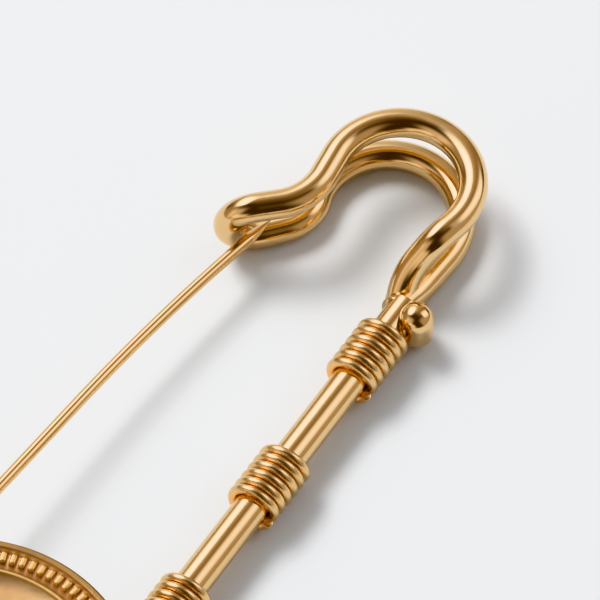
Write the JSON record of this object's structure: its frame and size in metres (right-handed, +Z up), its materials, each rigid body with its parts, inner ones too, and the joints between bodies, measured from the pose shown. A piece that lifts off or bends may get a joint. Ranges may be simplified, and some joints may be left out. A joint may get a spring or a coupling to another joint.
{
  "type": "safety pin brooch",
  "caption": "Safety pin shaped brooch with wound coils on its rod, a looped wire catch, a hinged needle and a round medallion.",
  "frame": {"origin": "centre of the back bar's flat underside, on the surface that the brooch lies on, below the medallion's middle", "axes": "+Z up out of the brooch's front, +Y along the rod towards the catch, +X from the needle's side towards the rod"},
  "size_m": [0.0295, 0.0857, 0.0082],
  "materials": {
    "polished_gold": "gold plated and polished",
    "antique_gold": "gold plated, matt field and rubbed relief"
  },
  "bodies": {
    "brooch": {"pin_frame": "polished_gold", "coil_head": "polished_gold", "coil_middle": "polished_gold", "coil_medallion": "polished_gold", "medallion": "antique_gold", "back_bar": "polished_gold"},
    "needle": {"needle": "polished_gold"}
  },
  "joints": [
    {"name": "needle_hinge", "type": "hinge", "parent": "brooch", "child": "needle", "pos_m": [-0.0108, 0.0013, 0.00575], "axis": [0, 0, -1], "range_deg": [0, 12], "stiffness_Nm_per_rad": 0.004}
  ]
}
